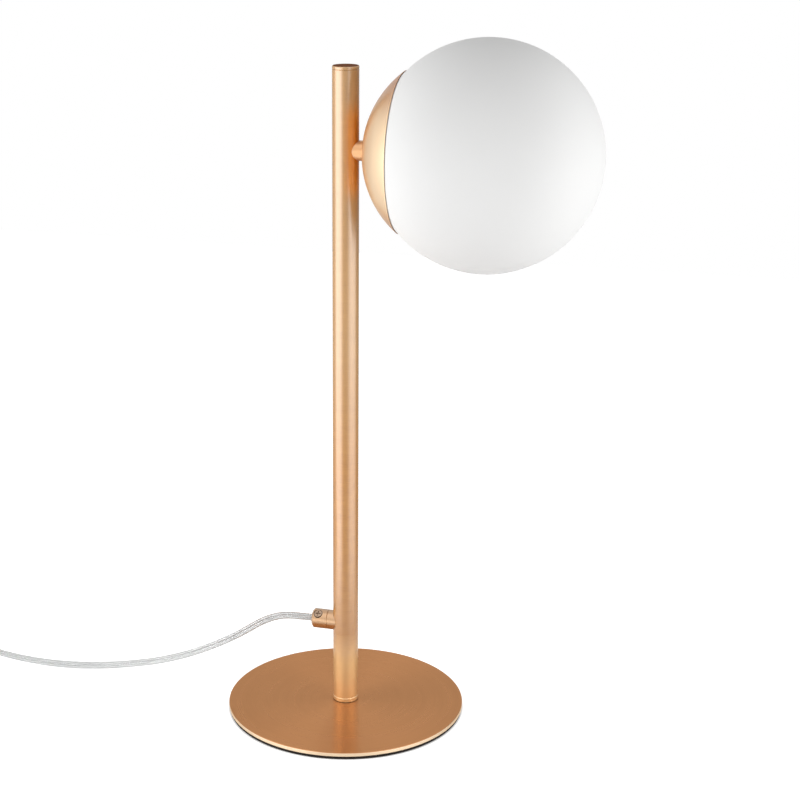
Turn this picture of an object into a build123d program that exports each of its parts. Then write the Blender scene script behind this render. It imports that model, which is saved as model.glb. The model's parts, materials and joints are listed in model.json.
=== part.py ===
from build123d import *
import math
import os

# Globe table lamp, in millimetres. The origin is the middle of the base's underside, +Z is up the stem,
# and +X runs along the arm to the globe. The flex leaves the stem towards -X.

os.makedirs("parts", exist_ok=True)

# Base
base_d = 155.0
plate_t = 2.3
plate_bevel = 0.4
pad_t = 2.3
pad_inset = 1.0
base_screw_d = 5.2
base_screw_head_d = 9.4
base_screw_reach = 15.0

# Stem
stem_d = 16.5
stem_wall = 1.2
stem_past_arm = 51.0
foot_flange = 3.0
foot_bevel = 0.45
foot_spigot = 20.0
cap_flange = 2.0
cap_spigot = 9.0
joint_groove = 0.25
cap_bevel = 0.4

# Arm
head_z = 371.5
arm_d = 12.4
arm_gap = 4.15
arm_spigot_d = 9.0
arm_spigot_proud = 1.2
shank_d = 9.8
wire_bore_d = 6.6
washer_d = 16.0
washer_t = 1.0
nut_flats = 14.0
nut_t = 4.0
shank_proud = 1.0

# Cup and globe
globe_d = 140.0
globe_wall = 2.5
globe_gap = 5.2
cup_wall = 1.2
cup_rim_angle = 44.0
rim_gap = 0.35
rim_lip = 0.5
rim_round = 0.2
seat_d = 18.0

# Screw mount of the globe
holder_d = 43.2
holder_wall = 1.8
holder_floor = 3.5
holder_floor_d = 28.0
holder_depth = 18.3
holder_clear = 1.2
thread_clear = 0.4
collar_wall = 2.0
collar_lip = 1.6
collar_lip_reach = 2.8
flange_reach = 2.5
flange_clear = 0.5
gasket_t = 1.2

# Lampholder and bulb
bracket_t = 1.2
bracket_w = 12.0
bracket_room = 4.0
nut_room = 0.7
holder_ears = 30.0
holder_ear_w = 14.0
holder_ear_t = 5.0
socket_len = 17.0
socket_w = 13.0
socket_h = 11.0
pin_pitch = 9.0
pin_slot_len = 4.4
pin_slot_w = 2.6
pin_slot_depth = 11.0
contact_t = 0.5
contact_len = 7.0
ear_screw_d = 2.9
ear_screw_head_d = 5.2
ear_screw_head_t = 1.8
ear_screw_pitch = 23.2
bulb_d = 15.6
bulb_len = 48.0
bulb_base_h = 9.0
bulb_base_len = 13.0
bulb_base_w = 9.0
bulb_pin_d = 0.9
bulb_pin_span = 2.6
bulb_pin_reach = 9.5
bulb_seat = 0.3

# Cord grip
cord_z = 60.0
grip_d = 12.8
boss_reach = 11.6
grip_reach = 22.0
grip_spigot_d = 8.8
grip_bevel = 1.0
grip_screw_x = 17.8
grip_screw_tilt = 52.0
grip_screw_d = 3.5
grip_screw_head_d = 5.0
grip_screw_head_t = 1.5
grip_recess_d = 6.0

# Flex
cord_d = 5.0
core_d = 2.2
core_pitch = 2.6
cord_room = 0.25
wire_hole_d = 6.6
wire_low_bend = 10.0
wire_high_bend = 8.0
wire_low_x = 3.0
wire_high_x = -3.0

# In-line switch
switch_near = 276.0
switch_len = 62.0
switch_w = 25.0
switch_end_w = 14.0
switch_flat = 30.0
switch_split_z = 7.0
switch_h = 14.5
switch_wall = 1.7
switch_round = 2.5
switch_cord_in = 2.5
rocker_pivot_z = 8.6
rocker_w = 9.6
rocker_r = 9.2
rocker_dip = 5.4
rocker_tip = 7.0
rocker_foot = 1.5
rocker_lug_r = 2.6
rocker_tilt = 8.0
rocker_room = 0.4
switch_pin_d = 2.4
post_len = 6.0
post_t = 2.2
boss_x = 21.0
boss_d = 6.8
switch_screw_d = 2.3
switch_screw_head_d = 5.2
switch_screw_head_t = 1.6
terminal_len = 10.0
terminal_w = 4.0
terminal_h = 4.6
terminal_t = 0.8

# Put-away coil, its tie and the plug
coil_turns_in = 3.25
coil_turns_out = 3.5
coil_gap = 0.7
coil_outer_r = 39.5
coil_lead_bend = 20.0
coil_lead_run = 48.0
coil_tail_run = 28.0
coil_tail_drift = 0.5
tie_w = 10.0
tie_t = 1.0
tie_room = 0.4
tie_corner = 1.6
plug_w = 35.0
plug_t = 13.7
plug_corner = 4.8
plug_neck_w = 14.0
plug_neck_t = 11.0
plug_taper = 18.0
plug_straight = 13.0
relief_len = 22.0
relief_end_d = 8.0
relief_root_d = 10.4
relief_rings = 4
relief_groove = 0.9
plug_pin_d = 4.0
plug_pin_core_d = 3.2
plug_pin_len = 19.0
plug_pin_hold = 8.0
plug_pin_pitch = 18.6
plug_sleeve_len = 10.0

# Clearances
fit = 0.1
seat_gap = 0.1
braze_gap = 0.05
bond_gap = 0.3

# Sizes that follow
stem_r = stem_d / 2
stem_in_r = stem_r - stem_wall
plate_top = pad_t + plate_t
tube_low = plate_top + foot_flange
stem_top = head_z + stem_past_arm
tube_high = stem_top - cap_flange
globe_r = globe_d / 2
cup_pole = stem_r + arm_gap
globe_x = cup_pole + globe_gap + globe_r

# The cup's dome runs from its pole to a thin rim that stands one rim gap off the globe.
rim_angle = math.radians(cup_rim_angle)
rim_reach = globe_r + rim_gap
rim_x = globe_x - rim_reach * math.cos(rim_angle)
rim_in_r = rim_reach * math.sin(rim_angle)
rim_out_r = rim_in_r + rim_lip
dome_rise = rim_x - cup_pole
dome_out_r = (dome_rise**2 + rim_out_r**2) / (2 * dome_rise)
dome_in_r = dome_out_r - cup_wall
dome_x = cup_pole + dome_out_r

# Behind the rim the wall is bored to follow the globe, as far as the dome's inner face.
bore_x = (dome_in_r**2 - rim_reach**2 - dome_x**2 + globe_x**2) / (2 * (globe_x - dome_x))
bore_r = math.sqrt(rim_reach**2 - (globe_x - bore_x) ** 2)
bore_angle = (rim_angle + math.asin(bore_r / rim_reach)) / 2


def dome_inside(r):
    return dome_x - math.sqrt(dome_in_r**2 - r**2)


def dome_outside(r):
    return dome_x - math.sqrt(dome_out_r**2 - r**2)


seat_x = dome_outside(seat_d / 2)
seat_in = seat_x + cup_wall
seat_in_r = math.sqrt(dome_in_r**2 - (dome_x - seat_in) ** 2)

# Stack on the arm's threaded end, from the cup inwards
shank_r = shank_d / 2
clear_hole_r = shank_r + fit
floor_x = seat_in + holder_floor
washer_x = floor_x + bracket_t
nut_x = washer_x + washer_t
shank_end = nut_x + nut_t + shank_proud
nut_corner_r = nut_flats / 2 / math.cos(math.pi / 6)
socket_x = shank_end + bracket_room
socket_face = socket_x + holder_ear_t + socket_h
bulb_x = socket_face + bulb_seat
bulb_tip = bulb_x + bulb_len

# Screw mount: threads are plain walls with a thread's clearance
holder_r = holder_d / 2
holder_in_r = holder_r - holder_wall
holder_rim = seat_in + holder_depth
skirt_x = dome_inside(holder_r) + holder_clear
collar_in_r = holder_r + thread_clear
collar_out_r = collar_in_r + collar_wall
mouth_r = collar_out_r + bond_gap
flange_r = mouth_r + flange_reach
mouth_x = globe_x - math.sqrt(globe_r**2 - mouth_r**2)
flange_top = mouth_x - bond_gap
flange_low = dome_inside(flange_r) + flange_clear
gasket_x = holder_rim + seat_gap
lip_x = gasket_x + gasket_t + seat_gap
lip_top = lip_x + collar_lip
lip_r = collar_in_r - collar_lip_reach

head = Plane(origin=(0, 0, head_z), x_dir=(1, 0, 0), z_dir=(0, -1, 0))
head_axis = Axis((0, 0, head_z), (1, 0, 0))


def across(x, z):
    # Plane square to the X axis: its own x runs along +Y and its own y up.
    return Plane(origin=(x, 0, z), x_dir=(0, 1, 0), z_dir=(1, 0, 0))


def save(piece, name):
    piece.part.label = name
    export_step(piece.part, f"parts/{name}.step")


# Base plate, with a countersunk hole from below
with BuildPart() as base_plate:
    with BuildSketch(Plane.XY.offset(pad_t)):
        Circle(base_d / 2)
    extrude(amount=plate_t)
    chamfer(base_plate.edges().group_by(Axis.Z)[-1], plate_bevel)
    with Locations(Plane(origin=(0, 0, pad_t), z_dir=(0, 0, -1))):
        CounterSinkHole(base_screw_d / 2 + fit, base_screw_head_d / 2 + fit, plate_t, 90)
save(base_plate, "base_plate")

with BuildPart() as base_pad:
    with BuildSketch():
        Circle(base_d / 2 - pad_inset)
    extrude(amount=pad_t)
save(base_pad, "base_pad")

# Countersunk screw, from the plate's underside up into the foot
base_head_h = (base_screw_head_d - base_screw_d) / 2
with BuildPart() as base_screw:
    with BuildSketch(Plane.XZ):
        with BuildLine():
            Polyline(
                (0, pad_t),
                (base_screw_head_d / 2, pad_t),
                (base_screw_d / 2, pad_t + base_head_h),
                (base_screw_d / 2, plate_top + base_screw_reach),
                (0, plate_top + base_screw_reach),
                close=True,
            )
        make_face()
    revolve(axis=Axis.Z)
save(base_screw, "base_screw")

# Stem foot: a flange as wide as the tube, a spigot inside it and a tapped hole
with BuildPart() as stem_foot:
    with BuildSketch(Plane.XY.offset(plate_top)):
        Circle(stem_r)
    extrude(amount=foot_flange)
    chamfer(stem_foot.edges().group_by(Axis.Z)[-1], joint_groove)
    chamfer(stem_foot.edges().group_by(Axis.Z)[0], foot_bevel)
    with BuildSketch(Plane.XY.offset(tube_low)):
        Circle(stem_in_r - fit)
    extrude(amount=foot_spigot)
    with BuildSketch(Plane.XY.offset(plate_top)):
        Circle(base_screw_d / 2 + fit)
    extrude(amount=base_screw_reach + fit, mode=Mode.SUBTRACT)
save(stem_foot, "stem_foot")

with BuildPart() as stem_tube:
    with BuildSketch(Plane.XY.offset(tube_low)):
        Circle(stem_r)
        Circle(stem_in_r, mode=Mode.SUBTRACT)
    extrude(amount=tube_high - tube_low)
    chamfer(stem_tube.edges().filter_by(GeomType.CIRCLE).sort_by(SortBy.RADIUS)[-2:], joint_groove)
    with BuildSketch(across(0, head_z)):
        Circle(arm_spigot_d / 2 + fit)
    extrude(amount=stem_d, mode=Mode.SUBTRACT)
    with BuildSketch(across(0, cord_z)):
        Circle(wire_hole_d / 2)
    extrude(amount=-stem_d, mode=Mode.SUBTRACT)
save(stem_tube, "stem_tube")

with BuildPart() as stem_cap:
    with BuildSketch(Plane.XY.offset(tube_high)):
        Circle(stem_r)
    extrude(amount=cap_flange)
    chamfer(stem_cap.edges().group_by(Axis.Z)[0], joint_groove)
    chamfer(stem_cap.edges().group_by(Axis.Z)[-1], cap_bevel)
    with BuildSketch(Plane.XY.offset(tube_high)):
        Circle(stem_in_r - fit)
    extrude(amount=-cap_spigot)
save(stem_cap, "stem_cap")

# Arm: a turned peg with a saddle on the stem, a spigot through its wall and a hollow shank for the nut
with BuildPart() as arm:
    with BuildSketch(across(0, head_z)):
        Circle(arm_d / 2)
    extrude(amount=seat_x)
    with Locations((0, 0, head_z)):
        Cylinder(stem_r + braze_gap, 2 * arm_d, mode=Mode.SUBTRACT)
    with BuildSketch(across(stem_in_r - arm_spigot_proud, head_z)):
        Circle(arm_spigot_d / 2)
    extrude(amount=seat_x - stem_in_r + arm_spigot_proud)
    with BuildSketch(across(seat_x, head_z)):
        Circle(shank_r)
    extrude(amount=shank_end - seat_x)
    chamfer(arm.edges().group_by(Axis.X)[-1], shank_proud / 2)
    with BuildSketch(across(0, head_z)):
        Circle(wire_bore_d / 2)
    extrude(amount=shank_end, mode=Mode.SUBTRACT)
save(arm, "arm")

# Cup: spun dome with a flat seat for the arm and a thin rim that closes on the globe
dome_half_out = math.asin(rim_out_r / dome_out_r) / 2
dome_half_in = math.asin(bore_r / dome_in_r) / 2
with BuildPart() as cup:
    with BuildSketch(head):
        with BuildLine():
            Polyline((seat_in, clear_hole_r), (seat_x, clear_hole_r), (seat_x, seat_d / 2))
            ThreePointArc(
                (seat_x, seat_d / 2),
                (dome_x - dome_out_r * math.cos(dome_half_out), dome_out_r * math.sin(dome_half_out)),
                (rim_x, rim_out_r),
            )
            Line((rim_x, rim_out_r), (rim_x, rim_in_r))
            ThreePointArc(
                (rim_x, rim_in_r),
                (globe_x - rim_reach * math.cos(bore_angle), rim_reach * math.sin(bore_angle)),
                (bore_x, bore_r),
            )
            ThreePointArc(
                (bore_x, bore_r),
                (dome_x - dome_in_r * math.cos(dome_half_in), dome_in_r * math.sin(dome_half_in)),
                (seat_in, seat_in_r),
            )
            Line((seat_in, seat_in_r), (seat_in, clear_hole_r))
        make_face()
    revolve(axis=head_axis)
    fillet(cup.edges().filter_by(GeomType.CIRCLE).sort_by(Axis.X)[-2:], rim_round)
save(cup, "cup")

# Globe holder: dish on the cup's seat, with the wall that the globe's collar screws over
with BuildPart() as globe_holder:
    with BuildSketch(head):
        with BuildLine():
            Polyline(
                (seat_in, clear_hole_r),
                (seat_in, seat_in_r - bond_gap),
                (skirt_x, holder_r),
                (holder_rim, holder_r),
                (holder_rim, holder_in_r),
                (skirt_x + holder_wall, holder_in_r),
                (floor_x, holder_floor_d / 2),
                (floor_x, clear_hole_r),
                close=True,
            )
        make_face()
    revolve(axis=head_axis)
save(globe_holder, "globe_holder")

with BuildPart() as arm_washer:
    with BuildSketch(across(washer_x, head_z)):
        Circle(washer_d / 2)
        Circle(clear_hole_r, mode=Mode.SUBTRACT)
    extrude(amount=washer_t)
save(arm_washer, "arm_washer")

with BuildPart() as arm_nut:
    with BuildSketch(across(nut_x, head_z)):
        RegularPolygon(nut_corner_r, 6)
        Circle(clear_hole_r, mode=Mode.SUBTRACT)
    extrude(amount=nut_t)
save(arm_nut, "arm_nut")

# Collar: threaded ring bonded into the mouth of the glass, with a lip over the gasket
with BuildPart() as globe_collar:
    with BuildSketch(head):
        with BuildLine():
            Polyline(
                (flange_low, collar_in_r),
                (flange_low, flange_r),
                (flange_top, flange_r),
                (flange_top, collar_out_r),
                (lip_top, collar_out_r),
                (lip_top, lip_r),
                (lip_x, lip_r),
                (lip_x, collar_in_r),
                close=True,
            )
        make_face()
    revolve(axis=head_axis)
save(globe_collar, "globe_collar")

with BuildPart() as globe_gasket:
    with BuildSketch(across(gasket_x, head_z)):
        Circle(holder_r - seat_gap)
        Circle(holder_in_r + seat_gap, mode=Mode.SUBTRACT)
    extrude(amount=gasket_t)
save(globe_gasket, "globe_gasket")

# Globe: opal glass ball, open only at the mouth behind the cup
glass_in_r = globe_r - globe_wall
mouth_in_x = globe_x - math.sqrt(glass_in_r**2 - mouth_r**2)
with BuildPart() as globe:
    with BuildSketch(head):
        with BuildLine():
            ThreePointArc((mouth_x, mouth_r), (globe_x, globe_r), (globe_x + globe_r, 0))
            Line((globe_x + globe_r, 0), (globe_x + glass_in_r, 0))
            ThreePointArc((globe_x + glass_in_r, 0), (globe_x, glass_in_r), (mouth_in_x, mouth_r))
            Line((mouth_in_x, mouth_r), (mouth_x, mouth_r))
        make_face()
    revolve(axis=head_axis)
save(globe, "globe")

# Bracket: bent strap under the nut, with two ears that carry the lampholder
leg_in = nut_corner_r + nut_room
leg_out = leg_in + bracket_t
with BuildPart() as socket_bracket:
    with BuildSketch(Plane.XY.offset(head_z)):
        with BuildLine():
            Polyline(
                (floor_x, leg_out),
                (socket_x - bracket_t, leg_out),
                (socket_x - bracket_t, holder_ears / 2),
                (socket_x, holder_ears / 2),
                (socket_x, leg_in),
                (washer_x, leg_in),
                (washer_x, 0),
                (floor_x, 0),
                close=True,
            )
        make_face()
        mirror(about=Plane.XZ)
    extrude(amount=bracket_w / 2, both=True)
    with BuildSketch(across(floor_x, head_z)):
        Circle(clear_hole_r)
    extrude(amount=bracket_t, mode=Mode.SUBTRACT)
    with BuildSketch(across(socket_x, head_z)):
        with GridLocations(ear_screw_pitch, 0, 2, 1):
            Circle(ear_screw_d / 2 + fit)
    extrude(amount=-bracket_t, mode=Mode.SUBTRACT)
save(socket_bracket, "socket_bracket")

# Lampholder: ceramic block on an eared foot, with two pin slots and a wire entry behind
with BuildPart() as lampholder:
    with BuildSketch(across(socket_x, head_z)):
        SlotOverall(holder_ears, holder_ear_w)
    extrude(amount=holder_ear_t)
    with BuildSketch(across(socket_x + holder_ear_t, head_z)):
        RectangleRounded(socket_len, socket_w, socket_w / 4)
    extrude(amount=socket_h)
    chamfer(lampholder.faces().sort_by(Axis.X)[-1].edges(), socket_w / 16)
    with BuildSketch(across(socket_face, head_z)):
        with GridLocations(pin_pitch, 0, 2, 1):
            Rectangle(pin_slot_len, pin_slot_w)
    extrude(amount=-pin_slot_depth, mode=Mode.SUBTRACT)
    with BuildSketch(across(socket_x, head_z)):
        with GridLocations(ear_screw_pitch, 0, 2, 1):
            Circle(ear_screw_d / 2 + fit)
    extrude(amount=holder_ear_t, mode=Mode.SUBTRACT)
    with BuildSketch(across(socket_x, head_z)):
        SlotOverall(core_pitch + core_d + 4 * fit, core_d + 4 * fit)
    extrude(amount=holder_ear_t - core_d, mode=Mode.SUBTRACT)
save(lampholder, "lampholder")

# Brass blades along the upper wall of each pin slot
with BuildPart() as lampholder_contacts:
    with BuildSketch(across(socket_face - pin_slot_depth + fit, head_z)):
        with GridLocations(pin_pitch, 0, 2, 1):
            with Locations((0, pin_slot_w / 2 - contact_t / 2 - fit / 2)):
                Rectangle(pin_slot_len - 2 * fit, contact_t)
    extrude(amount=contact_len)
save(lampholder_contacts, "lampholder_contacts")

with BuildPart() as lampholder_screws:
    with BuildSketch(across(socket_x + holder_ear_t, head_z)):
        with GridLocations(ear_screw_pitch, 0, 2, 1):
            Circle(ear_screw_head_d / 2)
    extrude(amount=ear_screw_head_t)
    with BuildSketch(across(socket_x + holder_ear_t, head_z)):
        with GridLocations(ear_screw_pitch, 0, 2, 1):
            Circle(ear_screw_d / 2)
    extrude(amount=-holder_ear_t - 2 * bracket_t)
save(lampholder_screws, "lampholder_screws")

# Bulb: flat base, capsule with a round end and two wire loops for pins
with BuildPart() as bulb_base:
    with BuildSketch(across(bulb_x, head_z)):
        RectangleRounded(bulb_base_len, bulb_base_w, bulb_base_w / 3)
    extrude(amount=bulb_base_h)
save(bulb_base, "bulb_base")

with BuildPart() as bulb_capsule:
    with BuildSketch(head):
        with BuildLine():
            Line((bulb_x + bulb_base_h, 0), (bulb_x + bulb_base_h, bulb_d / 2))
            Line((bulb_x + bulb_base_h, bulb_d / 2), (bulb_tip - bulb_d / 2, bulb_d / 2))
            RadiusArc((bulb_tip - bulb_d / 2, bulb_d / 2), (bulb_tip, 0), bulb_d / 2)
            Line((bulb_tip, 0), (bulb_x + bulb_base_h, 0))
        make_face()
    revolve(axis=head_axis)
save(bulb_capsule, "bulb_capsule")

pin_half = bulb_pin_span / 2
pin_straight = bulb_pin_reach - pin_half - bulb_pin_d / 2
with BuildPart() as bulb_pins:
    for side in (-pin_pitch / 2, pin_pitch / 2):
        with BuildLine(Plane.XY.offset(head_z)) as loop:
            Line((bulb_x, side - pin_half), (bulb_x - pin_straight, side - pin_half))
            ThreePointArc(
                (bulb_x - pin_straight, side - pin_half),
                (bulb_x - pin_straight - pin_half, side),
                (bulb_x - pin_straight, side + pin_half),
            )
            Line((bulb_x - pin_straight, side + pin_half), (bulb_x, side + pin_half))
        with BuildSketch(Plane(origin=loop.line @ 0, z_dir=loop.line % 0)):
            Circle(bulb_pin_d / 2)
        sweep(path=loop.wire())
save(bulb_pins, "bulb_pins")

# Cord boss: ring with a saddle, brazed to the stem round its lower hole
with BuildPart() as cord_boss:
    with BuildSketch(across(0, cord_z)):
        Circle(grip_d / 2)
        Circle(grip_spigot_d / 2 + fit, mode=Mode.SUBTRACT)
    extrude(amount=-boss_reach)
    with Locations((0, 0, cord_z)):
        Cylinder(stem_r + braze_gap, 2 * grip_d, mode=Mode.SUBTRACT)
    chamfer(cord_boss.edges().group_by(Axis.X)[0].sort_by(SortBy.RADIUS)[-1], joint_groove)
save(cord_boss, "cord_boss")

# Cord grip: screws into the boss, bored for the flex, with a recessed clamp screw on its near side
grip_in = stem_r + stem_wall
cord_bore_r = cord_d / 2 + cord_room
grip_screw_dir = Vector(0, -math.cos(math.radians(grip_screw_tilt)), math.sin(math.radians(grip_screw_tilt)))
grip_screw_plane = Plane(origin=(-grip_screw_x, 0, cord_z), x_dir=(1, 0, 0), z_dir=grip_screw_dir)
recess_floor = grip_d / 2 - grip_screw_head_t - 2 * fit
with BuildPart() as cord_grip:
    with BuildSketch(across(-boss_reach, cord_z)):
        Circle(grip_d / 2)
    extrude(amount=boss_reach - grip_reach)
    chamfer(cord_grip.edges().group_by(Axis.X)[0], grip_bevel)
    chamfer(cord_grip.edges().group_by(Axis.X)[-1], joint_groove)
    with BuildSketch(across(-boss_reach, cord_z)):
        Circle(grip_spigot_d / 2)
    extrude(amount=boss_reach - grip_in)
    with BuildSketch(across(-grip_in, cord_z)):
        Circle(cord_bore_r)
    extrude(amount=grip_in - grip_reach, mode=Mode.SUBTRACT)
    with BuildSketch(grip_screw_plane.offset(recess_floor)):
        Circle(grip_recess_d / 2)
    extrude(amount=grip_d, mode=Mode.SUBTRACT)
    with BuildSketch(grip_screw_plane):
        Circle(grip_screw_d / 2 + fit)
    extrude(amount=grip_d, mode=Mode.SUBTRACT)
save(cord_grip, "cord_grip")

with BuildPart() as cord_grip_screw:
    with BuildSketch(grip_screw_plane.offset(recess_floor + fit)):
        Circle(grip_screw_head_d / 2)
    extrude(amount=grip_screw_head_t)
    with BuildSketch(grip_screw_plane.offset(cord_d / 2 + fit)):
        Circle(grip_screw_d / 2)
    extrude(amount=recess_floor - cord_d / 2)
save(cord_grip_screw, "cord_grip_screw")

# Lead wires: the flex's two cores, side by side from the grip up the stem and out through the arm
with BuildPart() as lead_wires:
    for side in (-core_pitch / 2, core_pitch / 2):
        with BuildLine() as lead:
            FilletPolyline(
                (seat_gap - grip_in, side, cord_z),
                (wire_low_x, side, cord_z),
                (wire_high_x, side, head_z),
                (socket_x + holder_ear_t - core_d - 2 * fit, side, head_z),
                radius=[wire_low_bend, wire_high_bend],
            )
        with BuildSketch(Plane(origin=lead.line @ 0, z_dir=lead.line % 0)):
            Circle(core_d / 2)
        sweep(path=lead.wire())
save(lead_wires, "lead_wires")

# Free flex: from inside the grip, out level, down to the table and along it to the switch
cord_points = [
    (-grip_in, 0, cord_z),
    (-26, 0, cord_z),
    (-50, 0, 59),
    (-80, 0, 37),
    (-120, 0, 17.5),
    (-163, 0, 6.5),
    (-206, -1.5, 2.8),
    (-244, 0.5, 3.4),
    (-264, 0, switch_split_z),
    (-switch_near - switch_cord_in, 0, switch_split_z),
]


def bend_radii(points):
    # The largest arc that each corner's two runs allow
    radii = []
    for a, b, c in zip(points, points[1:], points[2:]):
        run_in = Vector(b) - Vector(a)
        run_out = Vector(c) - Vector(b)
        half_turn = math.radians(run_in.get_angle(run_out)) / 2
        radii.append(0.45 * min(run_in.length, run_out.length) / math.tan(half_turn))
    return radii


def compare_volume(name, tube, path):
    section = math.pi * cord_d**2 / 4 * path.length
    volumes = (round(tube.part.volume), round(section))
    print(f"{name}: length {path.length:.1f}, volume and section by length {volumes}")


cord_radii = bend_radii(cord_points)
print("cord bend radii", [round(r) for r in cord_radii])
with BuildPart() as cord:
    with BuildLine() as cord_line:
        FilletPolyline(*cord_points, radius=cord_radii)
    with BuildSketch(Plane(origin=cord_line.line @ 0, z_dir=cord_line.line % 0)):
        Circle(cord_d / 2)
    sweep(path=cord_line.wire())
save(cord, "cord")
compare_volume("cord", cord, cord_line.wire())

# In-line switch
switch_x = -switch_near - switch_len / 2
switch_far = -switch_near - switch_len


def switch_outline(inset):
    half_len = switch_len / 2 - inset
    half_w = switch_w / 2 - inset
    half_end = switch_end_w / 2 - inset
    with Locations((switch_x, 0)):
        Polygon(
            (half_len, -half_end),
            (half_len, half_end),
            (switch_flat / 2, half_w),
            (-switch_flat / 2, half_w),
            (-half_len, half_end),
            (-half_len, -half_end),
            (-switch_flat / 2, -half_w),
            (switch_flat / 2, -half_w),
            align=None,
        )


cord_entries = (switch_far, -switch_near - 2 * switch_wall)
post_in = rocker_w / 2 + 2 * rocker_room
post_top = rocker_pivot_z + switch_pin_d
boss_places = [(switch_x - boss_x, 0), (switch_x + boss_x, 0)]
screw_head_z = switch_wall + switch_screw_head_t
with BuildPart() as switch_base:
    with BuildSketch():
        switch_outline(0)
    extrude(amount=switch_split_z)
    fillet(switch_base.edges().filter_by(Axis.Z), switch_round)
    fillet(switch_base.edges().group_by(Axis.Z)[0], switch_round / 2)
    with BuildSketch(Plane.XY.offset(switch_wall)):
        switch_outline(switch_wall)
    extrude(amount=switch_split_z, mode=Mode.SUBTRACT)
    with BuildSketch(Plane.XY.offset(switch_wall)):
        with Locations(*boss_places):
            Circle(boss_d / 2)
    extrude(amount=switch_split_z - switch_wall)
    with BuildSketch(Plane.XY.offset(switch_wall)):
        with Locations((switch_x, post_in + post_t / 2), (switch_x, -post_in - post_t / 2)):
            Rectangle(post_len, post_t)
    extrude(amount=post_top - switch_wall)
    with BuildSketch(Plane(origin=(switch_x, 0, rocker_pivot_z), x_dir=(1, 0, 0), z_dir=(0, -1, 0))):
        Circle(switch_pin_d / 2 + fit / 2)
    extrude(amount=switch_w / 2 - switch_wall, both=True, mode=Mode.SUBTRACT)
    with BuildSketch():
        with Locations(*boss_places):
            Circle(switch_screw_head_d / 2 + fit)
    extrude(amount=screw_head_z, mode=Mode.SUBTRACT)
    with BuildSketch():
        with Locations(*boss_places):
            Circle(switch_screw_d / 2 + fit)
    extrude(amount=switch_split_z, mode=Mode.SUBTRACT)
    for end_x in cord_entries:
        with BuildSketch(across(end_x, switch_split_z)):
            Circle(cord_bore_r)
        extrude(amount=2 * switch_wall, mode=Mode.SUBTRACT)
save(switch_base, "switch_base")

rocker_open = math.sqrt(rocker_r**2 - (switch_h - switch_wall - rocker_pivot_z) ** 2) + rocker_room
with BuildPart() as switch_cover:
    with BuildSketch(Plane.XY.offset(switch_split_z)):
        switch_outline(0)
    extrude(amount=switch_h - switch_split_z)
    fillet(switch_cover.edges().filter_by(Axis.Z), switch_round)
    fillet(switch_cover.edges().group_by(Axis.Z)[-1], switch_round)
    with BuildSketch(Plane.XY.offset(switch_split_z)):
        switch_outline(switch_wall)
    extrude(amount=switch_h - switch_split_z - switch_wall, mode=Mode.SUBTRACT)
    with BuildSketch(Plane.XY.offset(switch_split_z)):
        with Locations(*boss_places):
            Circle(boss_d / 2)
    extrude(amount=switch_h - switch_split_z - switch_wall)
    with BuildSketch(Plane.XY.offset(switch_split_z)):
        with Locations(*boss_places):
            Circle(switch_screw_d / 2 + fit)
    extrude(amount=switch_h - switch_split_z - 2 * switch_wall, mode=Mode.SUBTRACT)
    with BuildSketch(Plane.XY.offset(switch_h)):
        with Locations((switch_x, 0)):
            Rectangle(2 * rocker_open, rocker_w + 2 * rocker_room)
    extrude(amount=-2 * switch_wall, mode=Mode.SUBTRACT)
    for end_x in cord_entries:
        with BuildSketch(across(end_x, switch_split_z)):
            Circle(cord_bore_r)
        extrude(amount=2 * switch_wall, mode=Mode.SUBTRACT)
save(switch_cover, "switch_cover")

# Rocker: dished top, ends struck from the pivot so that they clear the opening, and a lug round the pin
rocker_lean = math.radians(rocker_tilt)
rocker_plane = Plane(
    origin=(switch_x, 0, rocker_pivot_z),
    x_dir=(math.cos(rocker_lean), 0, math.sin(rocker_lean)),
    z_dir=(0, -1, 0),
)
tip_u = math.sqrt(rocker_r**2 - rocker_tip**2)
foot_u = math.sqrt(rocker_r**2 - rocker_foot**2)
lug_u = math.sqrt(rocker_lug_r**2 - rocker_foot**2)
with BuildPart() as switch_rocker:
    with BuildSketch(rocker_plane):
        with BuildLine():
            Polyline((-tip_u, rocker_tip), (0, rocker_dip), (tip_u, rocker_tip))
            RadiusArc((tip_u, rocker_tip), (foot_u, rocker_foot), rocker_r)
            Line((foot_u, rocker_foot), (lug_u, rocker_foot))
            ThreePointArc((lug_u, rocker_foot), (0, -rocker_lug_r), (-lug_u, rocker_foot))
            Line((-lug_u, rocker_foot), (-foot_u, rocker_foot))
            RadiusArc((-foot_u, rocker_foot), (-tip_u, rocker_tip), rocker_r)
        make_face()
        Circle(switch_pin_d / 2 + fit, mode=Mode.SUBTRACT)
    extrude(amount=rocker_w / 2, both=True)
save(switch_rocker, "switch_rocker")

with BuildPart() as switch_pin:
    with BuildSketch(Plane(origin=(switch_x, 0, rocker_pivot_z), x_dir=(1, 0, 0), z_dir=(0, -1, 0))):
        Circle(switch_pin_d / 2)
    extrude(amount=post_in + post_t, both=True)
save(switch_pin, "switch_pin")

# Bent brass terminals on the switch's floor
with BuildPart() as switch_contacts:
    with BuildSketch(Plane(origin=(switch_x, 0, switch_wall), x_dir=(1, 0, 0), z_dir=(0, -1, 0))):
        with BuildLine():
            Polyline(
                (post_len / 2 + fit, 0),
                (post_len / 2 + fit + terminal_len, 0),
                (post_len / 2 + fit + terminal_len, terminal_t),
                (post_len / 2 + fit + terminal_t, terminal_t),
                (post_len / 2 + fit + terminal_t, terminal_h),
                (post_len / 2 + fit, terminal_h),
                close=True,
            )
        make_face()
        mirror(about=Plane.YZ)
    extrude(amount=terminal_w / 2, both=True)
save(switch_contacts, "switch_contacts")

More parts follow.
